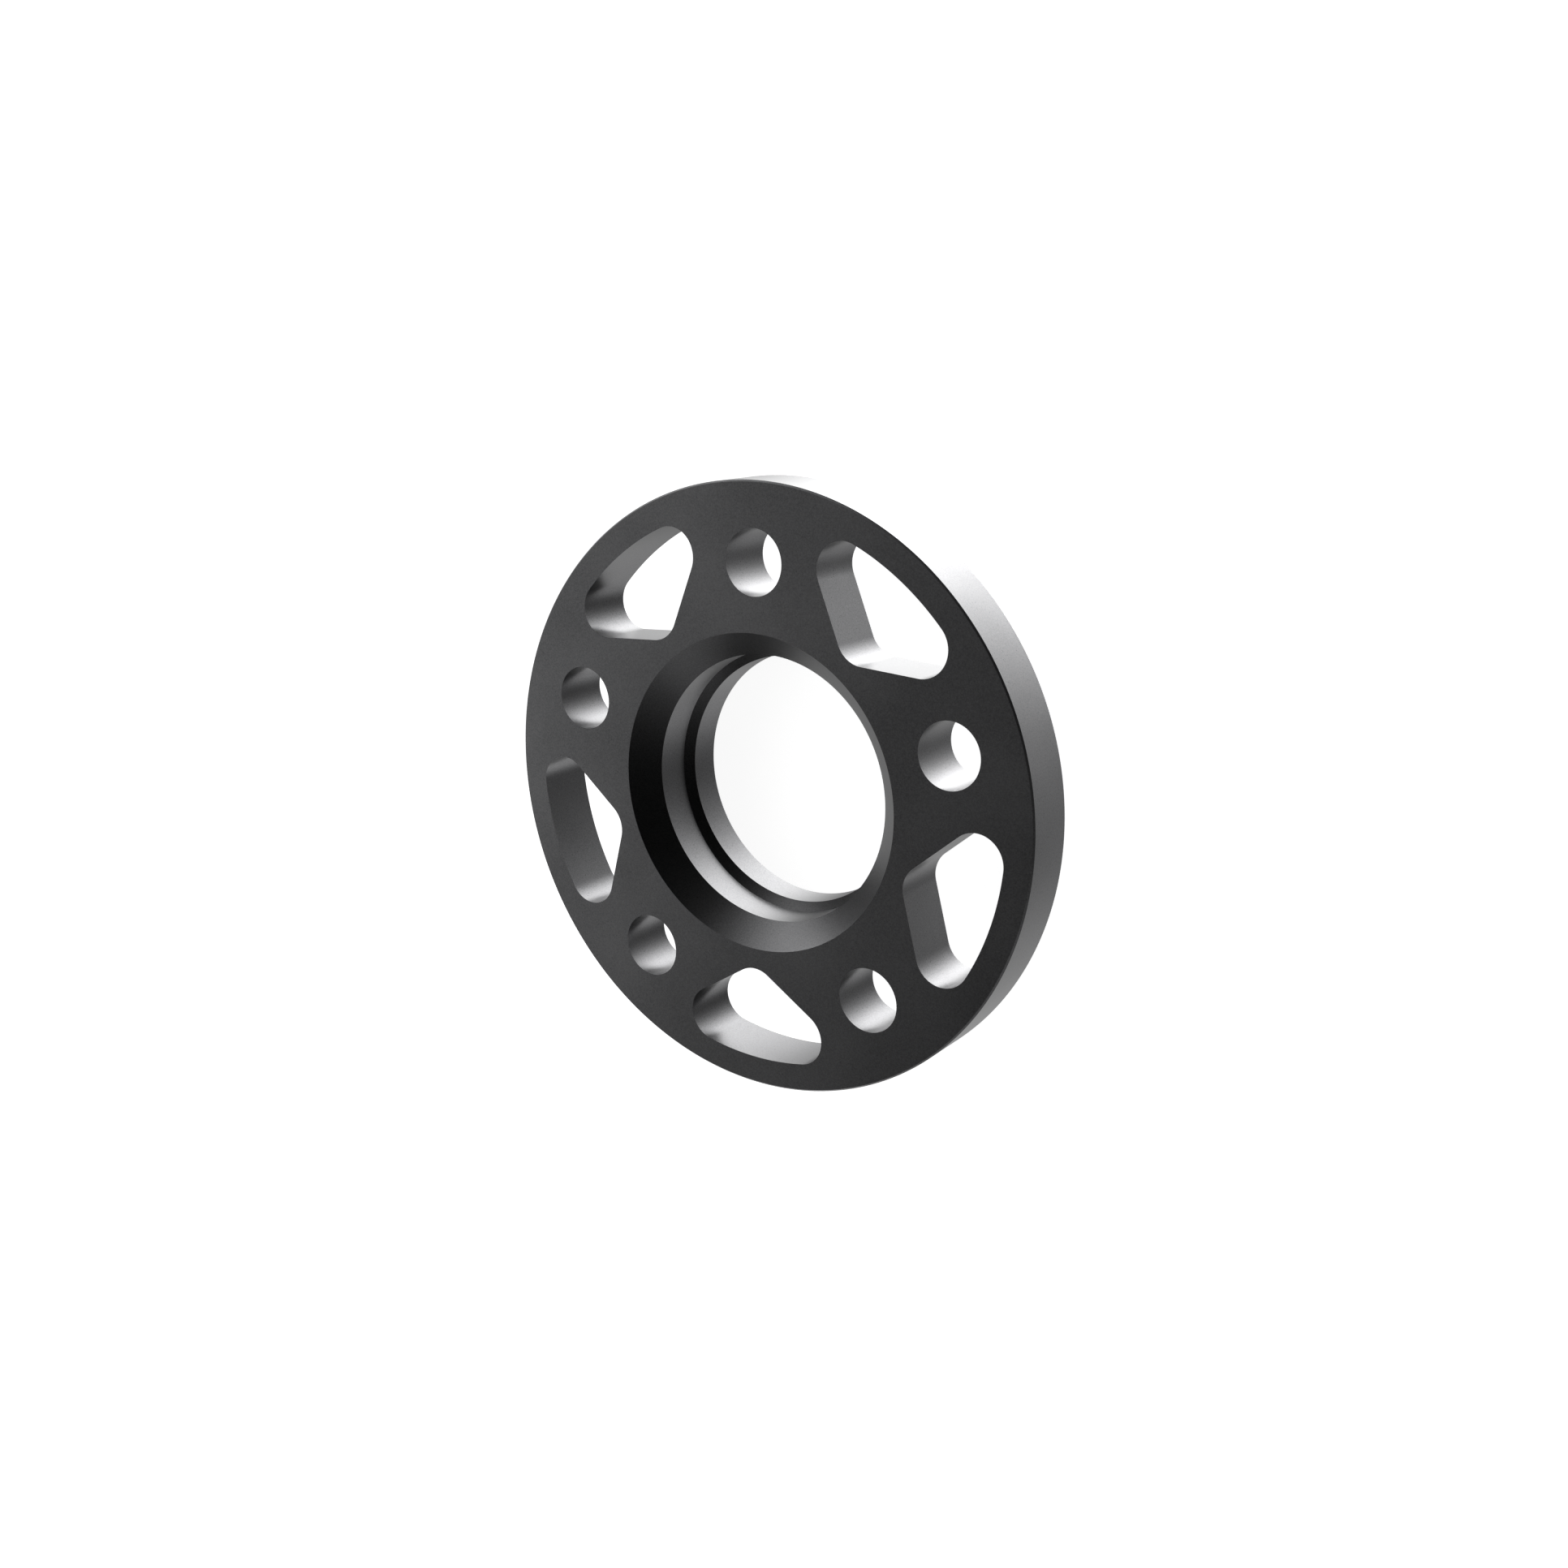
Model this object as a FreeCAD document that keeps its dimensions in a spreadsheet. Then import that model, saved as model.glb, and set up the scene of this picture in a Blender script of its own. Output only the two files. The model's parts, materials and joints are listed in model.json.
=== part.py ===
import FreeCAD, Part

# Hub-centric wheel spacer, machined from one piece of aluminium. Millimetres and degrees.
#
# It lies on the end of its centring lip with the hub face up: the axis is +Z, the origin is the centre
# of the lip's end, and one bolt hole lies on +Y. From the hub face down the bore is a wide lead-in
# chamfer, the pocket that takes the hub's spigot, a short cone, and a narrower bore through the lip.
# Five bolt holes and five rounded three-sided windows alternate around the plate.

import math
import os

import Sketcher

# The driving dimensions: alias, value, meaning.
DIMENSIONS = [
    ("outer_diameter", 150.0, "outside of the plate"),
    ("plate_thickness", 15.0, "hub face to wheel face: how far the wheel moves out"),
    ("edge_break", 0.4, "45 degree break on the plate's two outer edges"),
    ("spigot_diameter", 66.5, "spigot of the hub, which the lip repeats for the wheel"),
    ("spigot_fit", 0.1, "how much wider the pocket is than the spigot"),
    ("lead_in", 6.0, "45 degree chamfer at the pocket's mouth"),
    ("lip_height", 10.0, "how far the centring lip stands out of the wheel face"),
    ("lip_wall", 2.0, "wall of the lip"),
    ("lip_root", 3.0, "45 degree cone around the lip's root"),
    ("lip_nose", 1.0, "45 degree chamfer on the lip's end"),
    ("bolt_count", 5, "bolt holes, and windows between them"),
    ("bolt_circle", 112.0, "diameter of the circle through the bolt holes' centres"),
    ("bolt_hole", 16.0, "diameter of a bolt hole"),
    ("rim_wall", 7.0, "wall left outside the windows"),
    ("hub_web", 5.2, "web left between the lead-in and the windows' inner rounds"),
    ("window_side_angle", 57.5, "a window's straight side to the window's middle line"),
    ("window_round", 7.0, "radius of a window's three corners"),
]

# Sizes that follow from the driving ones: alias, formula, meaning.
FOLLOWING = [
    ("hub_face", "lip_height + plate_thickness", "height of the hub face"),
    ("rim_radius", "outer_diameter / 2", "plate's outside"),
    ("face_radius", "rim_radius - edge_break", "plate's two faces, up to the edge breaks"),
    ("rim_low", "lip_height + edge_break", "lower end of the rim"),
    ("rim_high", "hub_face - edge_break", "upper end of the rim"),
    ("pocket_radius", "(spigot_diameter + spigot_fit) / 2", "pocket's straight wall"),
    ("mouth_radius", "pocket_radius + lead_in", "lead-in at the hub face"),
    ("mouth_height", "hub_face - lead_in", "lead-in's inner end"),
    ("lip_radius", "spigot_diameter / 2", "lip's outside"),
    ("root_radius", "lip_radius + lip_root", "root cone on the wheel face"),
    ("root_height", "lip_height - lip_root", "root cone's lower end"),
    ("nose_radius", "lip_radius - lip_nose", "outside of the lip's end"),
    ("bore_radius", "lip_radius - lip_wall", "bore through the lip"),
    ("cone_height", "lip_height - (pocket_radius - bore_radius)", "lower end of the bore's 45 degree cone"),
    ("bolt_radius", "bolt_circle / 2", "axis to a bolt hole's centre"),
    ("window_turn", "180 / bolt_count", "from a bolt hole to the next window"),
    ("window_outside", "rim_radius - rim_wall", "window's outer arc"),
    ("window_inner_centre", "mouth_radius + hub_web + window_round", "centre of a window's inner round"),
]

# The half section's corners in order, as aliases of radius and height.
SECTION = [
    ("mouth_radius", "hub_face"),
    ("face_radius", "hub_face"),
    ("rim_radius", "rim_high"),
    ("rim_radius", "rim_low"),
    ("face_radius", "lip_height"),
    ("root_radius", "lip_height"),
    ("lip_radius", "root_height"),
    ("lip_radius", "lip_nose"),
    ("nose_radius", None),
    ("bore_radius", None),
    ("bore_radius", "cone_height"),
    ("pocket_radius", "lip_height"),
    ("pocket_radius", "mouth_height"),
]

# Points of a sketch edge, as Sketcher numbers them.
START, END, CENTRE = range(1, 4)
ORIGIN = (-1, 1)
HORIZONTAL_AXIS, VERTICAL_AXIS = -1, -2

doc = FreeCAD.newDocument("wheel_spacer")


def fill_sheet():
    """Writes the driving and the following sizes into one spreadsheet, each cell with its alias."""
    sheet = doc.addObject("Spreadsheet::Sheet", "Sizes")
    rows = [(alias, str(value), meaning) for alias, value, meaning in DIMENSIONS]
    rows += [(alias, f"={formula}", meaning) for alias, formula, meaning in FOLLOWING]
    for row, (alias, content, meaning) in enumerate(rows, start=1):
        sheet.set(f"A{row}", alias)
        sheet.set(f"B{row}", content)
        sheet.set(f"C{row}", meaning)
        sheet.setAlias(f"B{row}", alias)
    doc.recompute()
    return sheet


sizes = fill_sheet()


def size(alias):
    """A cell's present value as a plain number."""
    return float(getattr(sizes, alias))


def origin_feature(body, role):
    """The body's own origin plane or axis with the given role."""
    return next(feature for feature in body.Origin.OriginFeatures if feature.Role == role)


def add_sketch(body, name, plane):
    """An empty sketch on one of the body's origin planes."""
    sketch = body.newObject("Sketcher::SketchObject", name)
    sketch.AttachmentSupport = [(origin_feature(body, plane), "")]
    sketch.MapMode = "FlatFace"
    return sketch


def add_hub_face_sketch(body, name):
    """An empty sketch in the plane of the hub face, which the cuts start from."""
    sketch = add_sketch(body, name, "XY_Plane")
    sketch.setExpression(".AttachmentOffset.Base.z", "Sizes.hub_face")
    return sketch


def drive(sketch, name, constraint, alias):
    """Adds a dimension that takes its value from a cell."""
    index = sketch.addConstraint(constraint)
    sketch.renameConstraint(index, name)
    sketch.setExpression(f"Constraints.{name}", f"Sizes.{alias}")


def draw_section(body):
    """The closed half section that is turned about the axis."""
    sketch = add_sketch(body, "TurnedSection", "XZ_Plane")
    points = [
        FreeCAD.Vector(size(radius), size(height) if height else 0, 0)
        for radius, height in SECTION
    ]
    following = points[1:] + points[:1]
    for first, second in zip(points, following):
        sketch.addGeometry(Part.LineSegment(first, second), False)
    count = len(points)
    for edge in range(count):
        joint = Sketcher.Constraint("Coincident", edge, END, (edge + 1) % count, START)
        sketch.addConstraint(joint)
    for edge, ((radius, height), point) in enumerate(zip(SECTION, points)):
        across = Sketcher.Constraint("DistanceX", *ORIGIN, edge, START, point.x)
        drive(sketch, f"radius_{edge}", across, radius)
        if height:
            up = Sketcher.Constraint("DistanceY", *ORIGIN, edge, START, point.y)
            drive(sketch, f"height_{edge}", up, height)
        else:
            sketch.addConstraint(Sketcher.Constraint("PointOnObject", edge, START, HORIZONTAL_AXIS))
    return sketch


def turn(body, sketch):
    """The whole turned blank: plate, lip and stepped bore."""
    blank = body.newObject("PartDesign::Revolution", "TurnedBlank")
    blank.Profile = sketch
    blank.ReferenceAxis = (sketch, ["V_Axis"])
    blank.Angle = 360
    return blank


def draw_bolt_hole(body):
    """The bolt hole on +Y."""
    sketch = add_hub_face_sketch(body, "BoltHoleOutline")
    centre = FreeCAD.Vector(0, size("bolt_radius"), 0)
    radius = size("bolt_hole") / 2
    sketch.addGeometry(Part.Circle(centre, FreeCAD.Vector(0, 0, 1), radius), False)
    sketch.addConstraint(Sketcher.Constraint("PointOnObject", 0, CENTRE, VERTICAL_AXIS))
    pitch = Sketcher.Constraint("DistanceY", *ORIGIN, 0, CENTRE, centre.y)
    drive(sketch, "bolt_radius", pitch, "bolt_radius")
    drive(sketch, "bolt_hole", Sketcher.Constraint("Diameter", 0, 2 * radius), "bolt_hole")
    return sketch


def window_centres():
    """Centres of a window's inner round and of its left outer round, with the middle line on +Y."""
    inner = size("window_inner_centre")
    reach = size("window_outside") - size("window_round")
    slope = math.radians(size("window_side_angle"))
    along = math.sqrt(reach ** 2 - (inner * math.sin(slope)) ** 2) - inner * math.cos(slope)
    left = FreeCAD.Vector(-along * math.sin(slope), inner + along * math.cos(slope), 0)
    return FreeCAD.Vector(0, inner, 0), left


def draw_window(body):
    """One window: an arc about the plate's axis, two straight sides and three equal rounds."""
    sketch = add_hub_face_sketch(body, "WindowOutline")
    sketch.setExpression(".AttachmentOffset.Rotation.Angle", "Sizes.window_turn")
    inner, left = window_centres()
    right = FreeCAD.Vector(-left.x, left.y, 0)
    radius = size("window_round")
    slope = math.radians(size("window_side_angle"))
    outer_end = math.atan2(right.y, right.x)
    to_right = FreeCAD.Vector(math.cos(slope), -math.sin(slope), 0) * radius
    to_left = FreeCAD.Vector(-to_right.x, to_right.y, 0)
    rounds = [
        (FreeCAD.Vector(0, 0, 0), size("window_outside"), outer_end, math.pi - outer_end),
        (left, radius, math.pi - outer_end, math.pi + slope),
        (inner, radius, math.pi + slope, 2 * math.pi - slope),
        (right, radius, -slope, outer_end),
    ]
    outer, left_round, inner_round, right_round = [
        sketch.addGeometry(
            Part.ArcOfCircle(Part.Circle(centre, FreeCAD.Vector(0, 0, 1), reach), first, last), False
        )
        for centre, reach, first, last in rounds
    ]
    left_side = sketch.addGeometry(Part.LineSegment(left + to_left, inner + to_left), False)
    right_side = sketch.addGeometry(Part.LineSegment(inner + to_right, right + to_right), False)
    meetings = [
        (outer, END, left_round, START),
        (left_round, END, left_side, START),
        (left_side, END, inner_round, START),
        (inner_round, END, right_side, START),
        (right_side, END, right_round, START),
        (right_round, END, outer, START),
    ]
    for meeting in meetings:
        sketch.addConstraint(Sketcher.Constraint("Tangent", *meeting))
    sketch.addConstraint(Sketcher.Constraint("Coincident", outer, CENTRE, *ORIGIN))
    sketch.addConstraint(Sketcher.Constraint("PointOnObject", inner_round, CENTRE, VERTICAL_AXIS))
    sketch.addConstraint(Sketcher.Constraint("Equal", left_round, inner_round))
    sketch.addConstraint(Sketcher.Constraint("Equal", right_round, inner_round))
    sketch.addConstraint(Sketcher.Constraint("Equal", left_side, right_side))
    drive(sketch, "outside", Sketcher.Constraint("Radius", outer, size("window_outside")), "window_outside")
    drive(sketch, "round", Sketcher.Constraint("Radius", inner_round, radius), "window_round")
    reach = Sketcher.Constraint("DistanceY", *ORIGIN, inner_round, CENTRE, inner.y)
    drive(sketch, "inner_centre", reach, "window_inner_centre")
    spread = Sketcher.Constraint("Angle", right_side, START, VERTICAL_AXIS, START, slope)
    drive(sketch, "side_angle", spread, "window_side_angle")
    return sketch


def cut_through(body, name, sketch):
    """Cuts a sketch down through the plate and repeats the cut around the axis."""
    cut = body.newObject("PartDesign::Pocket", name)
    cut.Profile = sketch
    cut.Type = "ThroughAll"
    doc.recompute()
    ring = body.newObject("PartDesign::PolarPattern", f"{name}Ring")
    ring.Originals = [cut]
    ring.Axis = (sketch, ["N_Axis"])
    ring.Angle = 360
    ring.setExpression("Occurrences", "Sizes.bolt_count")
    body.Tip = ring
    doc.recompute()
    return ring


def build():
    """The spacer's one body, with its features in the order of machining."""
    body = doc.addObject("PartDesign::Body", "spacer_plate")
    blank = turn(body, draw_section(body))
    doc.recompute()
    holes = cut_through(body, "BoltHole", draw_bolt_hole(body))
    windows = cut_through(body, "Window", draw_window(body))
    return body, blank, holes, windows



def outline_face(sketch):
    """The flat face inside a sketch's closed outline."""
    return Part.Face(sketch.Shape.Wires[0])


def check_close(what, found, wanted):
    """Stops the build if a measured value is off by more than a ten-thousandth."""
    if abs(found - wanted) > 1e-4 * abs(wanted):
        raise RuntimeError(f"{what} is {found:.3f}, expected {wanted:.3f}")


def check(body, blank, holes, windows):
    """Every object computed, one valid solid, and each step's volume as the sketches give it."""
    for item in doc.Objects:
        if "Invalid" in item.State or "Error" in item.State:
            raise RuntimeError(f"{item.Name} did not compute: {item.State}")
    shape = body.Shape
    if shape.isNull() or not shape.isValid() or len(shape.Solids) != 1:
        raise RuntimeError("the spacer is not one valid solid")
    section = outline_face(blank.Profile[0])
    turned = 2 * math.pi * section.CenterOfMass.x * section.Area
    check_close("turned volume", blank.Shape.Volume, turned)
    swept = size("bolt_count") * size("plate_thickness")
    drilled = swept * outline_face(doc.getObject("BoltHoleOutline")).Area
    check_close("volume of the bolt holes", blank.Shape.Volume - holes.Shape.Volume, drilled)
    milled = swept * outline_face(doc.getObject("WindowOutline")).Area
    check_close("volume of the windows", holes.Shape.Volume - windows.Shape.Volume, milled)
    box = shape.BoundBox
    check_close("width", box.XLength, size("outer_diameter"))
    check_close("height", box.ZLength, size("hub_face"))
    print(f"spacer_plate: {shape.Volume:.1f} mm3, {len(shape.Faces)} faces, height {box.ZLength:.2f}")


body, blank, holes, windows = build()
check(body, blank, holes, windows)
os.makedirs("parts", exist_ok=True)
body.Shape.exportStep("parts/spacer_plate.step")
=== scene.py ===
"""Looks of a turned wheel spacer: a black anodised plate with a stepped bore, bolt holes and windows."""

import json
import math

import bmesh
import bpy
from bpy.props import FloatProperty, FloatVectorProperty, IntProperty, PointerProperty
from bpy.types import Operator, Panel, PropertyGroup
from mathutils import Matrix, Vector


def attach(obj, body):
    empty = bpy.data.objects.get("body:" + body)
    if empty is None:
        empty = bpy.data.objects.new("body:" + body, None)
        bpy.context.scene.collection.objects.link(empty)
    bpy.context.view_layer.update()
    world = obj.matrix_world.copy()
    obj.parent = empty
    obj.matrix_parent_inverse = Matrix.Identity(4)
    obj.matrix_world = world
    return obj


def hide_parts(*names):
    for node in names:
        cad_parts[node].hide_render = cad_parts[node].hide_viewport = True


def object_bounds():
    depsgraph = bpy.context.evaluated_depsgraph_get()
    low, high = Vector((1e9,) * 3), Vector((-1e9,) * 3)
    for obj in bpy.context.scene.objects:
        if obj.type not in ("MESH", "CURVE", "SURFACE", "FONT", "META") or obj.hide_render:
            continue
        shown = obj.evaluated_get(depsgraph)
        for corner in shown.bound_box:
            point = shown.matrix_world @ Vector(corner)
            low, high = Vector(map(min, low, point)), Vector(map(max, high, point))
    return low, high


bl_info = {
    "name": "Wheel Spacer",
    "version": (1, 0, 0),
    "blender": (4, 5, 0),
    "location": "View3D > Sidebar > Wheel Spacer",
    "description": "Builds a turned wheel spacer with bolt holes and windows, and the stage it lies on",
    "category": "Add Mesh",
}

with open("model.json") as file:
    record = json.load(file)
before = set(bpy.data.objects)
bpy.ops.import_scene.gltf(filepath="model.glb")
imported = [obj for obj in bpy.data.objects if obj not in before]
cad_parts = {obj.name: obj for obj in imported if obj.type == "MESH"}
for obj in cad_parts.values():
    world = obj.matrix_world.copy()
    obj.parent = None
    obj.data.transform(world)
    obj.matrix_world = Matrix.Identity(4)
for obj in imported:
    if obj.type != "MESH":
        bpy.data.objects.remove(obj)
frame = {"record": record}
cad_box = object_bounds()
cad_low, cad_high = cad_box
mounts = {mount["name"]: mount for mount in frame["record"]["mounts"]}

NODE = "spacer_plate"
MILLIMETRE = 0.001

# Facets of a bolt hole, and of each of a window's four arcs.
HOLE_SEGMENTS = 72
ARC_STEPS = 24
# Points nearer than this are one point, and faces that meet at more than this angle keep a sharp edge.
WELD = 0.000002
SHARP = math.radians(20)
# Added before a quotient of whole numbers is rounded down, so that a whole one stays as it is.
NUDGE = 0.0001

# Sockets of a Mix node that mixes two colours.
MIX_SHARE, MIX_FIRST, MIX_SECOND, MIX_RESULT = 0, 6, 7, 2

# Width of the camera's sensor in millimetres.
SENSOR_WIDTH = 36.0
WHITE = (1.0, 1.0, 1.0, 1.0)

# The studio's soft lamps: what each is for, its direction from +X and its height above the floor in
# degrees, its strength, and how tightly its light gathers.
SOFT_LAMPS = [
    ("far rim", 100, -55, 5.6, 9),
    ("far rim, low", 105, -70, 1.8, 20),
    ("far rim, side", 125, -50, 1.2, 20),
    ("near rim", 55, -75, 1.3, 9),
    ("hub face", -160, 5, 2.1, 9),
    ("hub face, far side", 170, 20, 1.9, 9),
    ("hub face, edge", 125, 20, 0.55, 20),
    ("lead-in", 140, -5, 1.0, 9),
    ("bore", -100, -25, 0.9, 9),
    ("bore, low", -110, -30, 1.0, 20),
    ("window walls", -60, -25, 2.1, 20),
    ("window walls, low", -65, -40, 0.4, 9),
    ("bolt holes", -45, -15, 0.2, 9),
]


def mount_size(mount, key):
    """A mount's stated size in metres."""
    return mounts[mount]["dims"][key] * MILLIMETRE


def length(label, description, default):
    """A property for a length in metres."""
    return FloatProperty(
        name=label, description=description, default=default, min=0.0, precision=5, unit="LENGTH"
    )


def angle(label, description, degrees):
    """A property for an angle, whose default is given in degrees."""
    return FloatProperty(name=label, description=description, default=math.radians(degrees), subtype="ANGLE")


def share(label, description, default):
    """A property between nothing and all."""
    return FloatProperty(
        name=label, description=description, default=default, min=0.0, max=1.0, subtype="FACTOR"
    )


def amount(label, description, default):
    """A property for a plain number."""
    return FloatProperty(name=label, description=description, default=default)


def count(label, description, default, least):
    """A property for a whole number."""
    return IntProperty(name=label, description=description, default=default, min=least)


def color(label, description, default):
    """A property for a linear colour."""
    return FloatVectorProperty(
        name=label, description=description, default=default, min=0.0, max=1.0, size=3, subtype="COLOR"
    )


class SPACER_PG_plate(PropertyGroup):
    """Sizes of the turned plate, its bore, its holes and its windows."""

    rim_radius: length("Rim radius", "Outside of the plate", (cad_high.x - cad_low.x) / 2)
    hub_face: length("Hub face", "Height of the upper face", cad_high.z)
    wheel_face: length("Wheel face", "Height of the lower face", mounts["wheel_face"]["pos_m"][2])
    edge_break: length("Edge break", "45 degree break on the plate's outer edges", 0.0004)
    pocket_radius: length("Pocket radius", "Wall below the lead-in", mount_size("hub_pocket", "r_mm"))
    lead_in: length("Lead-in", "45 degree chamfer at the pocket's mouth", 0.006)
    bore_radius: length("Bore radius", "Narrow bore through the lip", mount_size("lip_bore", "r_mm"))
    lip_radius: length("Lip radius", "Outside of the centring lip", mount_size("centring_lip", "r_mm"))
    lip_root: length("Lip root", "45 degree cone at the lip's root", 0.003)
    lip_nose: length("Lip nose", "45 degree chamfer on the lip's end", 0.001)
    bolts: count("Bolt holes", "Bolt holes, and windows between", mounts["bolt_holes"]["dims"]["count"], 3)
    bolt_radius: length("Bolt radius", "Axis to a bolt hole", mount_size("bolt_holes", "pcd_mm") / 2)
    hole_radius: length("Hole radius", "Radius of a bolt hole", mount_size("bolt_holes", "hole_r_mm"))
    rim_wall: length("Rim wall", "Wall left outside the windows", 0.007)
    hub_web: length("Hub web", "Web between the lead-in and the windows", 0.0052)
    window_round: length("Window round", "Radius of a window's corners", 0.007)
    window_side: angle("Window side", "A straight side to the window's middle line", 57.5)
    segments: count("Segments", "Facets around the plate", 320, 32)


class SPACER_PG_finish(PropertyGroup):
    """Black anodising on blasted and turned aluminium."""

    black: color("Black", "Colour that the anodised face reflects", (0.082, 0.082, 0.084))
    light_grain: color("Light grain", "Colour of the lightest grain", (0.138, 0.138, 0.141))
    roughness: share("Roughness", "Middle of the satin gloss", 0.29)
    roughness_swing: share("Roughness swing", "How much the gloss changes from grain to grain", 0.08)
    grain: length("Grain", "Size of the blasted grain", 0.00035)
    grain_depth: length("Grain depth", "Depth of the blasted grain", 0.000007)
    grain_share: share("Grain share", "Part of the change in tone that is grain", 0.6)
    mottle: length("Mottle", "Size of the slow change in tone", 0.03)
    darkest: share("Darkest", "Tone below which the colour is the black", 0.34)
    lightest: share("Lightest", "Tone above which the colour is the light grain", 0.66)


class SPACER_PG_stage(PropertyGroup):
    """Camera, floor and lights."""

    lens: amount("Lens", "Focal length in millimetres on a 36 mm sensor", 39.86)
    distance: length("Distance", "Camera to the middle of the spacer", 0.4277)
    swing: angle("Swing", "How far the camera stands to the right of the axis", 35.0)
    rise: angle("Rise", "How far the camera stands above the axis in the picture", 15.0)
    floor_reach: length("Floor reach", "Half width of the floor", 4.0)
    floor_tint: color("Floor tint", "Colour of the floor", (0.86, 0.86, 0.86))
    floor_glow: amount("Floor glow", "Light that the pale floor gives off", 0.91)
    dome_glow: amount("Dome glow", "Light that the dome gives to the camera alone", 1.0)
    lamps: amount("Lamps", "Strength of all soft lamps, 1 as set", 1.0)
    ceiling: amount("Ceiling", "Strength of the soft light straight above", 0.42)
    ceiling_focus: amount("Ceiling focus", "How tightly the light above gathers", 34.0)
    band: amount("Band", "Strength of the band of light that runs round above the floor", 0.57)
    band_height: amount("Band height", "Height of the band's middle on a ball of radius 1", 0.24)
    band_width: amount("Band width", "How far the band fades up and down on that ball", 0.13)


class Link:
    """A node's output socket, on which plain Python operators add Math nodes."""

    def __init__(self, tree, socket):
        self.tree = tree
        self.socket = socket

    def math(self, operation, *others):
        """A Math node fed by this link and the others."""
        return self.tree.add("ShaderNodeMath", {"operation": operation}, [self, *others])

    def __add__(self, other):
        return self.math("ADD", other)

    __radd__ = __add__

    def __sub__(self, other):
        return self.math("SUBTRACT", other)

    def __rsub__(self, other):
        return self.tree.add("ShaderNodeMath", {"operation": "SUBTRACT"}, [other, self])

    def __mul__(self, other):
        return self.math("MULTIPLY", other)

    __rmul__ = __mul__

    def __truediv__(self, other):
        return self.math("DIVIDE", other)

    def __rtruediv__(self, other):
        return self.tree.add("ShaderNodeMath", {"operation": "DIVIDE"}, [other, self])

    def __pow__(self, other):
        return self.math("POWER", other)

    def __neg__(self):
        return self * -1.0


class Tree:
    """A node tree with one method that adds any node."""

    def __init__(self, tree):
        self.tree = tree

    def add(self, kind, settings=None, inputs=None, output=0):
        """Adds a node, sets it up, feeds its sockets and returns one of its outputs, if it has any."""
        node = self.tree.nodes.new(kind)
        for key, value in (settings or {}).items():
            if key == "stops":
                self.set_stops(node, value)
            elif key == "choices":
                self.set_choices(node, value)
            else:
                setattr(node, key, value)
        pairs = inputs.items() if isinstance(inputs, dict) else enumerate(inputs or [])
        for key, value in pairs:
            self.feed(node.inputs[key], value)
        return Link(self, node.outputs[output]) if node.outputs else None

    def feed(self, socket, value):
        """Links a socket to one or more links, or sets its value."""
        for part in value if isinstance(value, list) else [value]:
            if isinstance(part, Link):
                self.tree.links.new(part.socket, socket)
            else:
                socket.default_value = part

    def set_stops(self, node, stops):
        """A colour ramp's stops, as pairs of position and grey value."""
        elements = node.color_ramp.elements
        while len(elements) < len(stops):
            elements.new(1.0)
        for element, (place, grey) in zip(elements, stops):
            element.position = place
            element.color = (grey, grey, grey, 1.0)

    def set_choices(self, node, number):
        """As many inputs on an Index Switch as are asked for."""
        while len(node.index_switch_items) < number:
            node.index_switch_items.new()


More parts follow.
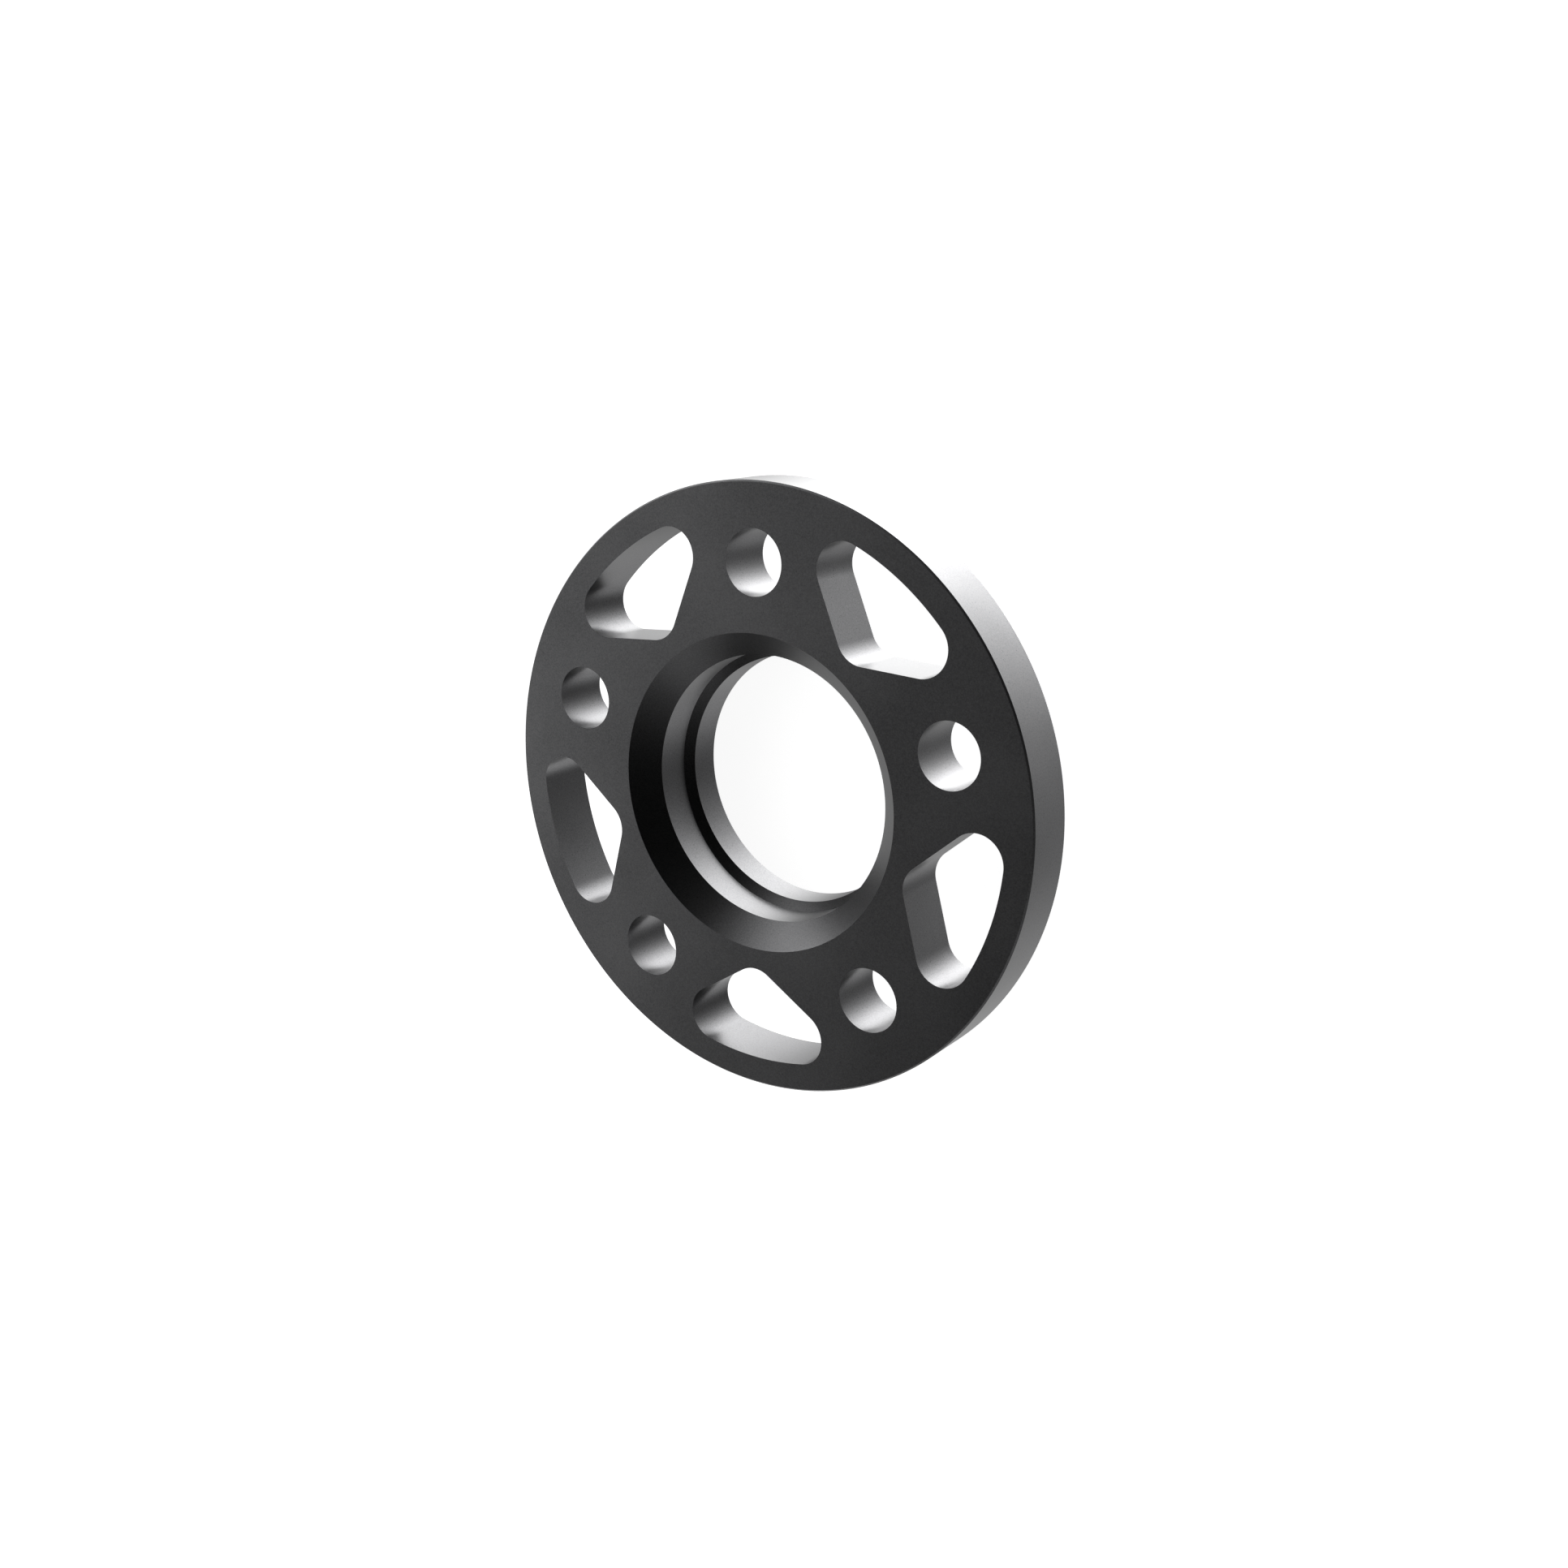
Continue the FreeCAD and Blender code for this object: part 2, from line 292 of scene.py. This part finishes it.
class PlateTree(Tree):
    """The geometry tree that draws the spacer. Each size is an input, and an attribute of the same name."""

    def __init__(self, name, sizes):
        super().__init__(bpy.data.node_groups.new(name, "GeometryNodeTree"))
        self.identifiers = {}
        self.tree.is_modifier = True
        group = self.tree.nodes.new("NodeGroupInput")
        for key, value in sizes.items():
            kind = "NodeSocketInt" if isinstance(value, int) else "NodeSocketFloat"
            label = key.replace("_", " ").capitalize()
            socket = self.tree.interface.new_socket(label, in_out="INPUT", socket_type=kind)
            self.identifiers[key] = socket.identifier
        self.tree.interface.new_socket("Geometry", in_out="OUTPUT", socket_type="NodeSocketGeometry")
        for key, socket in zip(sizes, group.outputs):
            setattr(self, key, Link(self, socket))

    def vector(self, x=0.0, y=0.0, z=0.0):
        """A vector from three links or numbers."""
        return self.add("ShaderNodeCombineXYZ", None, [x, y, z])

    def index(self):
        """The number of each point."""
        return self.add("GeometryNodeInputIndex")

    def whole(self, quotient):
        """A quotient of whole numbers, rounded down."""
        return (quotient + NUDGE).math("FLOOR")

    def pick(self, index, choices):
        """The number with the given index, at each point."""
        settings = {"data_type": "FLOAT", "choices": len(choices)}
        return self.add("GeometryNodeIndexSwitch", settings, [index, *choices])

    def around_axis(self, radius, turn):
        """How far right and how far forward a point lies, from its radius and its turn."""
        return radius * turn.math("COSINE"), radius * turn.math("SINE")

    def moved(self, geometry, way):
        """The geometry moved by a vector."""
        return self.add("GeometryNodeTransform", None, {"Geometry": geometry, "Translation": way})

    def joined(self, parts):
        """Several geometries as one."""
        return self.add("GeometryNodeJoinGeometry", None, [parts])

    def turned(self, corners):
        """The surface that a chain of corners, each a radius and a height, sweeps around the axis."""
        index = self.index()
        rows = self.segments + 1.0
        column = self.whole(index / rows)
        turn = (index - column * rows) * (2 * math.pi) / self.segments
        radius = self.pick(column, [corner[0] for corner in corners])
        height = self.pick(column, [corner[1] for corner in corners])
        counts = {"Vertices X": len(corners), "Vertices Y": rows}
        grid = self.add("GeometryNodeMeshGrid", None, counts)
        place = self.vector(*self.around_axis(radius, turn), height)
        return self.add("GeometryNodeSetPosition", None, {"Geometry": grid, "Position": place})

    def circle(self, radius, resolution):
        """A closed circle about the axis in the floor's plane."""
        inputs = {"Resolution": resolution, "Radius": radius}
        return self.add("GeometryNodeCurvePrimitiveCircle", None, inputs)

    def around(self, curve, offset):
        """Copies of a curve turned around the axis, the first one by an offset in parts of the pitch."""
        points = self.add("GeometryNodePoints", None, {"Count": self.bolts})
        turn = (self.index() + offset) * (2 * math.pi) / self.bolts
        placed = {"Points": points, "Instance": curve, "Rotation": self.vector(z=turn)}
        copies = self.add("GeometryNodeInstanceOnPoints", None, placed)
        return self.add("GeometryNodeRealizeInstances", None, [copies])

    def window(self):
        """A window on +Y: an arc about the axis, and three equal rounds that straight sides join."""
        inner = self.pocket_radius + self.lead_in + self.hub_web + self.window_round
        outside = self.rim_radius - self.rim_wall
        reach = outside - self.window_round
        slope = self.window_side
        sine = slope.math("SINE")
        cosine = slope.math("COSINE")
        along = (reach * reach - (inner * sine) ** 2.0).math("SQRT") - inner * cosine
        across = along * sine
        up = inner + along * cosine
        near_end = up.math("ARCTAN2", across)
        far_end = math.pi - near_end
        far_side = math.pi + slope
        near_side = 2 * math.pi - slope
        rounding = self.window_round
        points_each = ARC_STEPS + 1
        index = self.index()
        arc = self.whole(index / points_each)
        part = (index - arc * points_each) / ARC_STEPS
        centre_x = self.pick(arc, [0.0, -across, 0.0, across])
        centre_y = self.pick(arc, [0.0, up, inner, up])
        radius = self.pick(arc, [outside, rounding, rounding, rounding])
        first = self.pick(arc, [near_end, far_end, far_side, -slope])
        last = self.pick(arc, [far_end, far_side, near_side, near_end])
        x, y = self.around_axis(radius, first + (last - first) * part)
        place = self.vector(centre_x + x, centre_y + y)
        points = self.add("GeometryNodePoints", None, {"Count": 4 * points_each, "Position": place})
        curve = self.add("GeometryNodePointsToCurves", None, [points])
        return self.add("GeometryNodeSetSplineCyclic", None, {"Geometry": curve, "Cyclic": True})

    def rim(self, face_radius):
        """The plate's outside with its two broken edges."""
        return self.turned([
            (face_radius, self.hub_face),
            (self.rim_radius, self.hub_face - self.edge_break),
            (self.rim_radius, self.wheel_face + self.edge_break),
            (face_radius, self.wheel_face),
        ])

    def lip_and_bore(self, root_radius, mouth_radius):
        """The centring lip outside, and the stepped bore up to its mouth."""
        cone_low = self.wheel_face - (self.pocket_radius - self.bore_radius)
        return self.turned([
            (root_radius, self.wheel_face),
            (self.lip_radius, self.wheel_face - self.lip_root),
            (self.lip_radius, self.lip_nose),
            (self.lip_radius - self.lip_nose, 0.0),
            (self.bore_radius, 0.0),
            (self.bore_radius, cone_low),
            (self.pocket_radius, self.wheel_face),
            (self.pocket_radius, self.hub_face - self.lead_in),
            (mouth_radius, self.hub_face),
        ])

    def flat_face(self, cuts, inner, outer, height):
        """A flat ring at a height, open where the holes and windows go through it."""
        outlines = [cuts, self.circle(outer, self.segments), self.circle(inner, self.segments)]
        face = self.add("GeometryNodeFillCurve", None, {"Curve": self.joined(outlines)})
        return self.moved(face, self.vector(z=height))

    def walls(self, cuts):
        """The walls of the holes and windows, from one face to the other."""
        edges = self.add("GeometryNodeCurveToMesh", None, {"Curve": cuts})
        raised = self.moved(edges, self.vector(z=self.hub_face))
        down = self.vector(z=self.wheel_face - self.hub_face)
        inputs = {"Mesh": raised, "Offset": down, "Offset Scale": 1.0}
        return self.add("GeometryNodeExtrudeMesh", {"mode": "EDGES"}, inputs)

    def finish(self, material):
        """Draws the whole spacer and ends the tree."""
        face_radius = self.rim_radius - self.edge_break
        mouth_radius = self.pocket_radius + self.lead_in
        root_radius = self.lip_radius + self.lip_root
        hole = self.moved(self.circle(self.hole_radius, HOLE_SEGMENTS), self.vector(y=self.bolt_radius))
        cuts = self.joined([self.around(hole, 0.0), self.around(self.window(), 0.5)])
        whole = self.joined([
            self.rim(face_radius),
            self.lip_and_bore(root_radius, mouth_radius),
            self.walls(cuts),
            self.flat_face(cuts, mouth_radius, face_radius, self.hub_face),
            self.flat_face(cuts, root_radius, face_radius, self.wheel_face),
        ])
        welded = self.add("GeometryNodeMergeByDistance", None, {"Geometry": whole, "Distance": WELD})
        real = self.add("GeometryNodeRealizeInstances", None, [welded])
        dressed = self.add("GeometryNodeSetMaterial", None, {"Geometry": real, "Material": material})
        self.add("NodeGroupOutput", None, [dressed])


def chosen(group):
    """A property group's values as a dictionary of plain numbers."""
    return {key: getattr(group, key) for key in group.__annotations__}


def shader_tree(block):
    """The emptied shader tree of a material or a world."""
    block.use_nodes = True
    block.node_tree.nodes.clear()
    return Tree(block.node_tree)


def anodised(name, finish):
    """Black anodised aluminium: fine blasted grain in tone, gloss and height over a slow mottle."""
    material = bpy.data.materials.new(name)
    tree = shader_tree(material)
    place = tree.add("ShaderNodeTexCoord", output="Object")
    fine = {"Vector": place, "Scale": 1.0 / finish.grain, "Detail": 3.0, "Roughness": 0.6}
    slow = {"Vector": place, "Scale": 1.0 / finish.mottle, "Detail": 2.0}
    grain = tree.add("ShaderNodeTexNoise", None, fine)
    mottle = tree.add("ShaderNodeTexNoise", None, slow)
    tone = grain * finish.grain_share + mottle * (1.0 - finish.grain_share)
    stops = [(finish.darkest, 0.0), (finish.lightest, 1.0)]
    light = tree.add("ShaderNodeValToRGB", {"stops": stops}, [tone])
    colours = {MIX_SHARE: light, MIX_FIRST: (*finish.black, 1.0), MIX_SECOND: (*finish.light_grain, 1.0)}
    base = tree.add("ShaderNodeMix", {"data_type": "RGBA"}, colours, MIX_RESULT)
    gloss = (grain - 0.5) * finish.roughness_swing + finish.roughness
    relief = {"Height": grain, "Strength": 1.0, "Distance": finish.grain_depth}
    bump = tree.add("ShaderNodeBump", None, relief)
    surface = {"Base Color": base, "Metallic": 1.0, "Roughness": gloss, "Normal": bump}
    shader = tree.add("ShaderNodeBsdfPrincipled", None, surface)
    tree.add("ShaderNodeOutputMaterial", None, {"Surface": shader})
    return material


def plain_mesh(source, name):
    """The evaluated shape of an object as a plain mesh object with closed seams and outward faces."""
    evaluated = source.evaluated_get(bpy.context.evaluated_depsgraph_get())
    mesh = bpy.data.meshes.new_from_object(evaluated)
    shape = bmesh.new()
    shape.from_mesh(mesh)
    bmesh.ops.remove_doubles(shape, verts=shape.verts, dist=WELD)
    bmesh.ops.recalc_face_normals(shape, faces=shape.faces)
    for face in shape.faces:
        face.smooth = True
        face.material_index = 0
    for edge in shape.edges:
        edge.smooth = edge.is_manifold and edge.calc_face_angle() < SHARP
    shape.to_mesh(mesh)
    shape.free()
    material = next(kind for kind in mesh.materials if kind)
    mesh.materials.clear()
    mesh.materials.append(material)
    mesh.name = name
    bpy.data.objects.remove(source)
    piece = bpy.data.objects.new(name, mesh)
    bpy.context.collection.objects.link(piece)
    return piece


class SPACER_OT_plate(Operator):
    """Draws the spacer from its sizes and gives it its black anodised finish."""

    bl_idname = "spacer.plate"
    bl_label = "Build Plate"

    def execute(self, context):
        sizes = chosen(context.scene.spacer_plate)
        tree = PlateTree("Spacer Plate", sizes)
        tree.finish(anodised("satin_anodising", context.scene.spacer_finish))
        seed = bpy.data.objects.new("plate_seed", bpy.data.meshes.new("plate_seed"))
        context.collection.objects.link(seed)
        modifier = seed.modifiers.new("Spacer Plate", "NODES")
        modifier.node_group = tree.tree
        for key, value in sizes.items():
            modifier[tree.identifiers[key]] = value
        plate = plain_mesh(seed, "turned_plate")
        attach(plate, "root")
        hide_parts(NODE)
        return {"FINISHED"}


def pale_matt(name, tint, glow):
    """A matt pale surface with an even glow."""
    material = bpy.data.materials.new(name)
    tree = shader_tree(material)
    surface = {
        "Base Color": (*tint, 1.0),
        "Roughness": 0.9,
        "Specular IOR Level": 0.0,
        "Emission Color": WHITE,
        "Emission Strength": glow,
    }
    shader = tree.add("ShaderNodeBsdfPrincipled", None, surface)
    tree.add("ShaderNodeOutputMaterial", None, {"Surface": shader})
    return material


def pointing(azimuth, elevation):
    """The unit vector with a direction from +X and a height above the floor, both in degrees."""
    turn, lift = math.radians(azimuth), math.radians(elevation)
    return math.cos(lift) * math.cos(turn), math.cos(lift) * math.sin(turn), math.sin(lift)


def aimed(place, target, up):
    """The matrix of a camera at a place that looks at a target, with a chosen direction upwards."""
    back = (place - target).normalized()
    right = up.cross(back).normalized()
    turn = Matrix((right, back.cross(right), back)).transposed()
    return Matrix.Translation(place) @ turn.to_4x4()


class SPACER_OT_stage(Operator):
    """Sets the pale floor, the soft lights and the camera."""

    bl_idname = "spacer.stage"
    bl_label = "Set Stage"

    def execute(self, context):
        stage = context.scene.spacer_stage
        self.add_floor(context, stage)
        self.add_lights(context, stage)
        self.add_camera(context, stage)
        return {"FINISHED"}

    def add_floor(self, context, stage):
        """One large pale floor that the spacer lies on, under a dome as pale as itself."""
        for name, build, size, glow in (
            ("floor", bmesh.ops.create_grid, "size", stage.floor_glow),
            ("dome", bmesh.ops.create_icosphere, "radius", stage.dome_glow),
        ):
            shape = bmesh.new()
            build(shape, **{size: stage.floor_reach})
            mesh = bpy.data.meshes.new(name)
            shape.to_mesh(mesh)
            shape.free()
            mesh.materials.append(pale_matt(f"pale_{name}", stage.floor_tint, glow))
            sheet = bpy.data.objects.new(name, mesh)
            sheet.visible_glossy = False
            sheet.visible_shadow = False
            sheet.visible_diffuse = False
            context.collection.objects.link(sheet)

    def add_lights(self, context, stage):
        """Soft light from all round, painted on the world: a band above the floor and one glow a lamp."""
        world = bpy.data.worlds.new("studio_light")
        tree = shader_tree(world)
        direction = tree.add("ShaderNodeTexCoord", output="Generated")
        height = tree.add("ShaderNodeSeparateXYZ", None, [direction], "Z")
        above_middle = (height - stage.band_height) / stage.band_width
        light = (-(above_middle * above_middle)).math("EXPONENT") * stage.band
        ceiling = ("hub face from above", 0, 90, stage.ceiling, stage.ceiling_focus)
        for purpose, azimuth, elevation, strength, focus in [*SOFT_LAMPS, ceiling]:
            settings = {"operation": "DOT_PRODUCT", "label": purpose}
            towards = pointing(azimuth, elevation)
            facing = tree.add("ShaderNodeVectorMath", settings, [direction, towards], "Value")
            glow = ((facing - 1.0) * focus).math("EXPONENT")
            light = glow * (strength * stage.lamps) + light
        shader = tree.add("ShaderNodeBackground", None, {"Color": WHITE, "Strength": light})
        tree.add("ShaderNodeOutputWorld", None, {"Surface": shader})
        context.scene.world = world

    def add_camera(self, context, stage):
        """The camera at the picture's viewing angle, with one bolt hole straight up."""
        middle = (cad_low + cad_high) / 2
        direction = Vector((
            math.sin(stage.swing) * math.cos(stage.rise),
            math.sin(stage.rise),
            math.cos(stage.swing) * math.cos(stage.rise),
        ))
        lens = bpy.data.cameras.new("camera")
        lens.lens = stage.lens
        lens.sensor_width = SENSOR_WIDTH
        camera = bpy.data.objects.new("camera", lens)
        camera.matrix_world = aimed(middle + direction * stage.distance, middle, Vector((0.0, 1.0, 0.0)))
        context.collection.objects.link(camera)
        context.scene.camera = camera
        context.scene.view_settings.view_transform = "Standard"


# The panel's boxes: an operator, and the groups of properties that it reads.
PANEL_ROWS = [
    ("spacer.plate", "spacer_plate", "spacer_finish"),
    ("spacer.stage", "spacer_stage"),
]


class SPACER_PT_panel(Panel):
    """Sizes, finish and stage of the spacer."""

    bl_idname = "SPACER_PT_panel"
    bl_label = "Wheel Spacer"
    bl_space_type = "VIEW_3D"
    bl_region_type = "UI"
    bl_category = "Wheel Spacer"

    def draw(self, context):
        for operator, *groups in PANEL_ROWS:
            box = self.layout.box()
            box.operator(operator)
            for group in groups:
                settings = getattr(context.scene, group)
                for key in settings.__annotations__:
                    box.prop(settings, key)


GROUPS = {
    "spacer_plate": SPACER_PG_plate,
    "spacer_finish": SPACER_PG_finish,
    "spacer_stage": SPACER_PG_stage,
}
CLASSES = [*GROUPS.values(), SPACER_OT_plate, SPACER_OT_stage, SPACER_PT_panel]


def register():
    """Registers the classes and gives the scene its groups of properties."""
    for kind in CLASSES:
        bpy.utils.register_class(kind)
    for name, group in GROUPS.items():
        setattr(bpy.types.Scene, name, PointerProperty(type=group))


def unregister():
    """Takes back what register did, last first."""
    for name in reversed(GROUPS):
        delattr(bpy.types.Scene, name)
    for kind in reversed(CLASSES):
        bpy.utils.unregister_class(kind)


def main():
    """Builds the spacer and its stage."""
    register()
    bpy.ops.spacer.plate()
    bpy.ops.spacer.stage()


if __name__ == "__main__":
    main()
